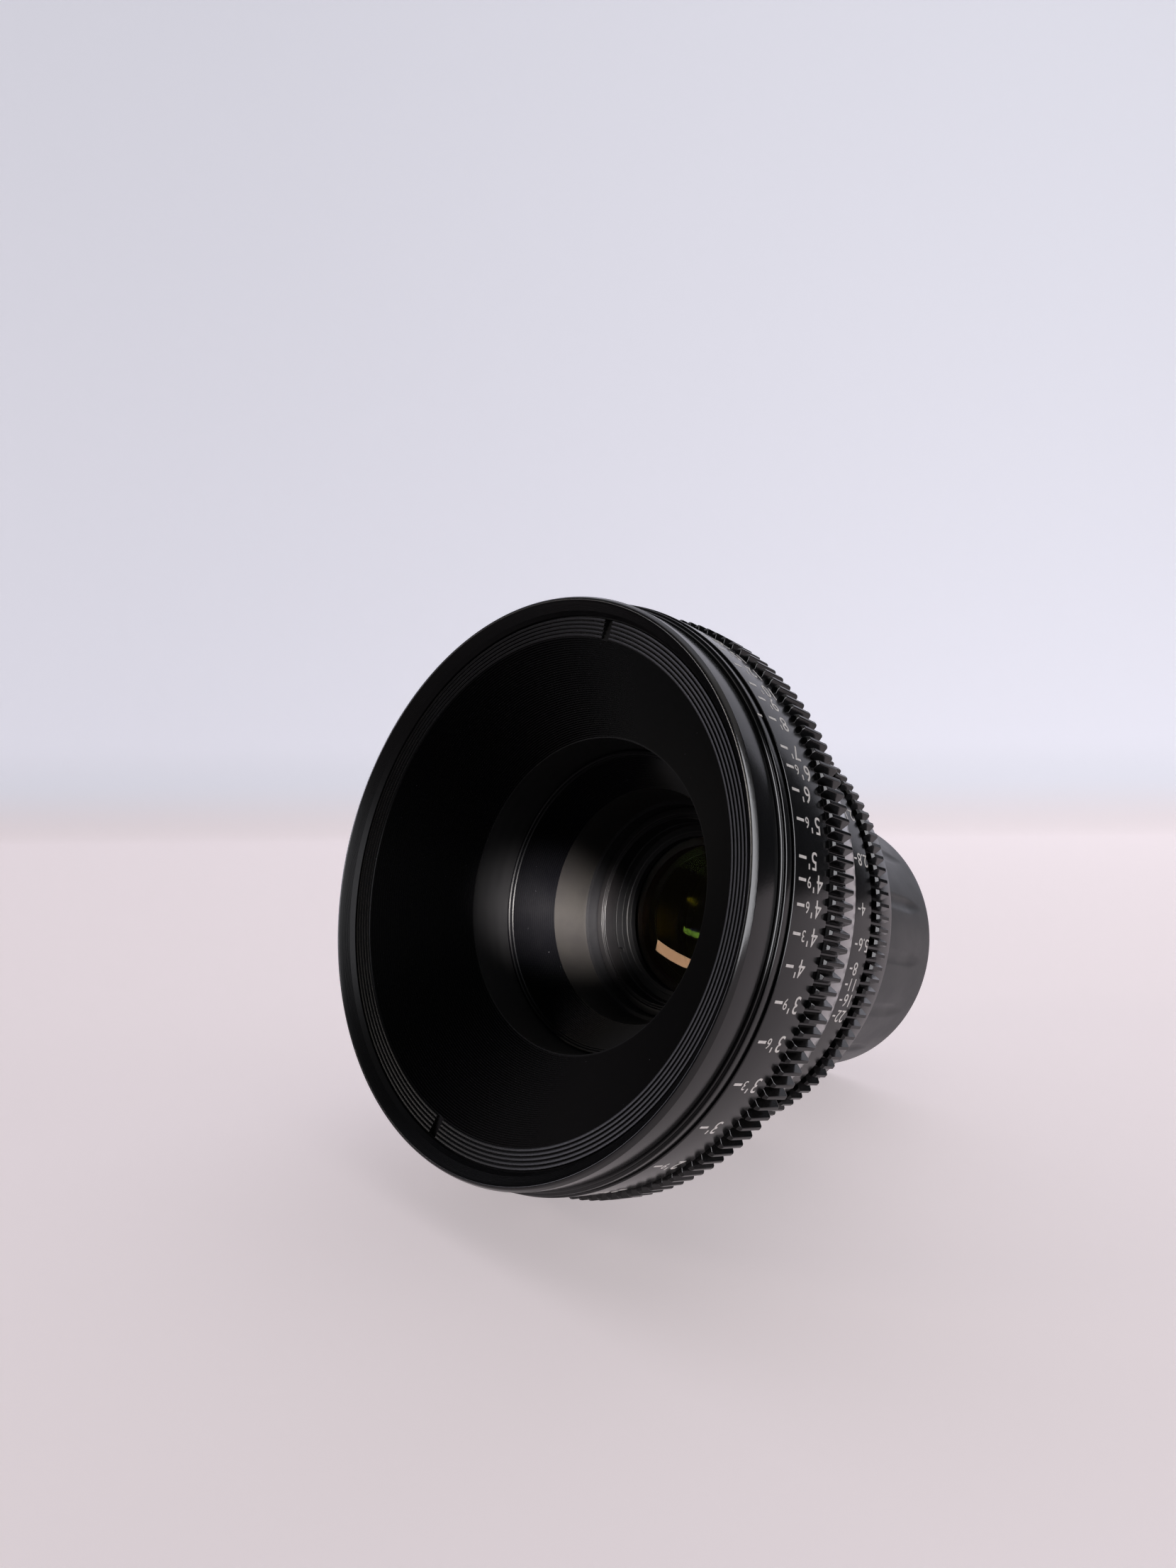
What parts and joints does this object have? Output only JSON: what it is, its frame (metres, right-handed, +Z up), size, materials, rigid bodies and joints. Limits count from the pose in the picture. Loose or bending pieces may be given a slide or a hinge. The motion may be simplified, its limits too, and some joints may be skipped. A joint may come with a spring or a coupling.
{
  "type": "cinema prime lens",
  "caption": "Wide-fronted cinema prime lens with geared focus and iris rings, a flared ribbed hood, a bayonet pilot mount under a fluted rear cap, and a working iris.",
  "frame": {"origin": "on the optical axis, in the seat face of the rear bayonet mount", "axes": "+Y along the optical axis out of the rear, -Y to the front and the subject, +Z up with the scales' index marks on the +X and +Z side"},
  "size_m": [0.1192, 0.112, 0.1192],
  "materials": {
    "black_anodised": "satin black anodised",
    "gear_anodised": "satin black anodised, bright on worn tooth ends",
    "inner_anodised": "matt black anodised",
    "mount_steel": "fine turned",
    "screw_steel": "satin",
    "guide_metal": "fine turned",
    "drive_brass": "turned and greased",
    "coated_glass": "polished, anti-reflection coated",
    "blade_steel": "blackened",
    "cap_plastic": "semi-matt moulded"
  },
  "bodies": {
    "housing": {"rear_barrel": "black_anodised", "cone_ring": "black_anodised", "guide_barrel": "guide_metal", "front_carrier": "inner_anodised", "front_ring": "black_anodised", "index_ring": "black_anodised", "baffle_cone": "inner_anodised", "focus_stop_pin": "screw_steel", "mount_flange": "mount_steel", "mount_shim": "mount_steel", "mount_screws": "screw_steel"},
    "focus_ring": {"focus_scale_ring": "black_anodised", "focus_gear": "gear_anodised", "helicoid_sleeve": "drive_brass", "focus_screws": "screw_steel"},
    "optical_unit": {"lens_barrel": "inner_anodised", "followers": "drive_brass", "front_hood": "inner_anodised", "front_cell": "inner_anodised", "front_retainer": "inner_anodised", "iris_housing": "inner_anodised", "rear_cell": "inner_anodised", "rear_spacer": "inner_anodised", "rear_retainer": "inner_anodised", "lens_1": "coated_glass", "lens_2": "coated_glass", "lens_3": "coated_glass", "lens_4": "coated_glass", "lens_5": "coated_glass", "lens_6": "coated_glass", "lens_7": "coated_glass"},
    "iris_ring": {"iris_scale_ring": "black_anodised", "iris_gear": "gear_anodised", "iris_drive_pin": "screw_steel"},
    "iris_cam": {"iris_cam_ring": "blade_steel"},
    "iris_blade_01": {"iris_blade_01": "blade_steel"},
    "iris_blade_02": {"iris_blade_02": "blade_steel"},
    "iris_blade_03": {"iris_blade_03": "blade_steel"},
    "iris_blade_04": {"iris_blade_04": "blade_steel"},
    "iris_blade_05": {"iris_blade_05": "blade_steel"},
    "iris_blade_06": {"iris_blade_06": "blade_steel"},
    "iris_blade_07": {"iris_blade_07": "blade_steel"},
    "iris_blade_08": {"iris_blade_08": "blade_steel"},
    "iris_blade_09": {"iris_blade_09": "blade_steel"},
    "iris_blade_10": {"iris_blade_10": "blade_steel"},
    "iris_blade_11": {"iris_blade_11": "blade_steel"},
    "iris_blade_12": {"iris_blade_12": "blade_steel"},
    "iris_blade_13": {"iris_blade_13": "blade_steel"},
    "iris_blade_14": {"iris_blade_14": "blade_steel"},
    "rear_cap": {"rear_cap": "cap_plastic"}
  },
  "joints": [
    {"name": "focus_turn", "type": "hinge", "parent": "housing", "child": "focus_ring", "pos_m": [0, -0.0566, 0], "axis": [0, -1, 0], "range_deg": [-39, 225]},
    {"name": "focus_travel", "type": "slide", "parent": "housing", "child": "optical_unit", "axis": [0, -1, 0], "range_m": [-0.00106, 0.0061]},
    {"name": "iris_turn", "type": "hinge", "parent": "housing", "child": "iris_ring", "pos_m": [0, -0.027, 0], "axis": [0, -1, 0], "range_deg": [0, 46]},
    {"name": "iris_cam_turn", "type": "hinge", "parent": "optical_unit", "child": "iris_cam", "pos_m": [0, -0.0056, 0], "axis": [0, -1, 0], "range_deg": [0, 46]},
    {"name": "iris_blade_01_turn", "type": "hinge", "parent": "optical_unit", "child": "iris_blade_01", "pos_m": [0.0173, -0.00125, 0], "axis": [0, -1, 0], "range_deg": [0, 36.5]},
    {"name": "iris_blade_02_turn", "type": "hinge", "parent": "optical_unit", "child": "iris_blade_02", "pos_m": [0.01559, -0.0015, 0.00751], "axis": [0, -1, 0], "range_deg": [0, 36.5]},
    {"name": "iris_blade_03_turn", "type": "hinge", "parent": "optical_unit", "child": "iris_blade_03", "pos_m": [0.01079, -0.00175, 0.01353], "axis": [0, -1, 0], "range_deg": [0, 36.5]},
    {"name": "iris_blade_04_turn", "type": "hinge", "parent": "optical_unit", "child": "iris_blade_04", "pos_m": [0.00385, -0.002, 0.01687], "axis": [0, -1, 0], "range_deg": [0, 36.5]},
    {"name": "iris_blade_05_turn", "type": "hinge", "parent": "optical_unit", "child": "iris_blade_05", "pos_m": [-0.00385, -0.00225, 0.01687], "axis": [0, -1, 0], "range_deg": [0, 36.5]},
    {"name": "iris_blade_06_turn", "type": "hinge", "parent": "optical_unit", "child": "iris_blade_06", "pos_m": [-0.01079, -0.0025, 0.01353], "axis": [0, -1, 0], "range_deg": [0, 36.5]},
    {"name": "iris_blade_07_turn", "type": "hinge", "parent": "optical_unit", "child": "iris_blade_07", "pos_m": [-0.01559, -0.00275, 0.00751], "axis": [0, -1, 0], "range_deg": [0, 36.5]},
    {"name": "iris_blade_08_turn", "type": "hinge", "parent": "optical_unit", "child": "iris_blade_08", "pos_m": [-0.0173, -0.003, 0], "axis": [0, -1, 0], "range_deg": [0, 36.5]},
    {"name": "iris_blade_09_turn", "type": "hinge", "parent": "optical_unit", "child": "iris_blade_09", "pos_m": [-0.01559, -0.00325, -0.00751], "axis": [0, -1, 0], "range_deg": [0, 36.5]},
    {"name": "iris_blade_10_turn", "type": "hinge", "parent": "optical_unit", "child": "iris_blade_10", "pos_m": [-0.01079, -0.0035, -0.01353], "axis": [0, -1, 0], "range_deg": [0, 36.5]},
    {"name": "iris_blade_11_turn", "type": "hinge", "parent": "optical_unit", "child": "iris_blade_11", "pos_m": [-0.00385, -0.00375, -0.01687], "axis": [0, -1, 0], "range_deg": [0, 36.5]},
    {"name": "iris_blade_12_turn", "type": "hinge", "parent": "optical_unit", "child": "iris_blade_12", "pos_m": [0.00385, -0.004, -0.01687], "axis": [0, -1, 0], "range_deg": [0, 36.5]},
    {"name": "iris_blade_13_turn", "type": "hinge", "parent": "optical_unit", "child": "iris_blade_13", "pos_m": [0.01079, -0.00425, -0.01353], "axis": [0, -1, 0], "range_deg": [0, 36.5]},
    {"name": "iris_blade_14_turn", "type": "hinge", "parent": "optical_unit", "child": "iris_blade_14", "pos_m": [0.01559, -0.0045, -0.00751], "axis": [0, -1, 0], "range_deg": [0, 36.5]},
    {"name": "rear_cap_pull", "type": "slide", "parent": "housing", "child": "rear_cap", "axis": [0, 1, 0], "range_m": [0, 0.09]}
  ],
  "couplings": [
    {"joint": "focus_travel", "follows": "focus_turn", "m_per_rad": 0.0015518},
    {"joint": "iris_cam_turn", "follows": "iris_turn", "ratio": 1},
    {"joint": "iris_blade_01_turn", "follows": "iris_turn", "ratio": 0.79347},
    {"joint": "iris_blade_02_turn", "follows": "iris_turn", "ratio": 0.79347},
    {"joint": "iris_blade_03_turn", "follows": "iris_turn", "ratio": 0.79347},
    {"joint": "iris_blade_04_turn", "follows": "iris_turn", "ratio": 0.79347},
    {"joint": "iris_blade_05_turn", "follows": "iris_turn", "ratio": 0.79347},
    {"joint": "iris_blade_06_turn", "follows": "iris_turn", "ratio": 0.79347},
    {"joint": "iris_blade_07_turn", "follows": "iris_turn", "ratio": 0.79347},
    {"joint": "iris_blade_08_turn", "follows": "iris_turn", "ratio": 0.79347},
    {"joint": "iris_blade_09_turn", "follows": "iris_turn", "ratio": 0.79347},
    {"joint": "iris_blade_10_turn", "follows": "iris_turn", "ratio": 0.79347},
    {"joint": "iris_blade_11_turn", "follows": "iris_turn", "ratio": 0.79347},
    {"joint": "iris_blade_12_turn", "follows": "iris_turn", "ratio": 0.79347},
    {"joint": "iris_blade_13_turn", "follows": "iris_turn", "ratio": 0.79347},
    {"joint": "iris_blade_14_turn", "follows": "iris_turn", "ratio": 0.79347}
  ]
}
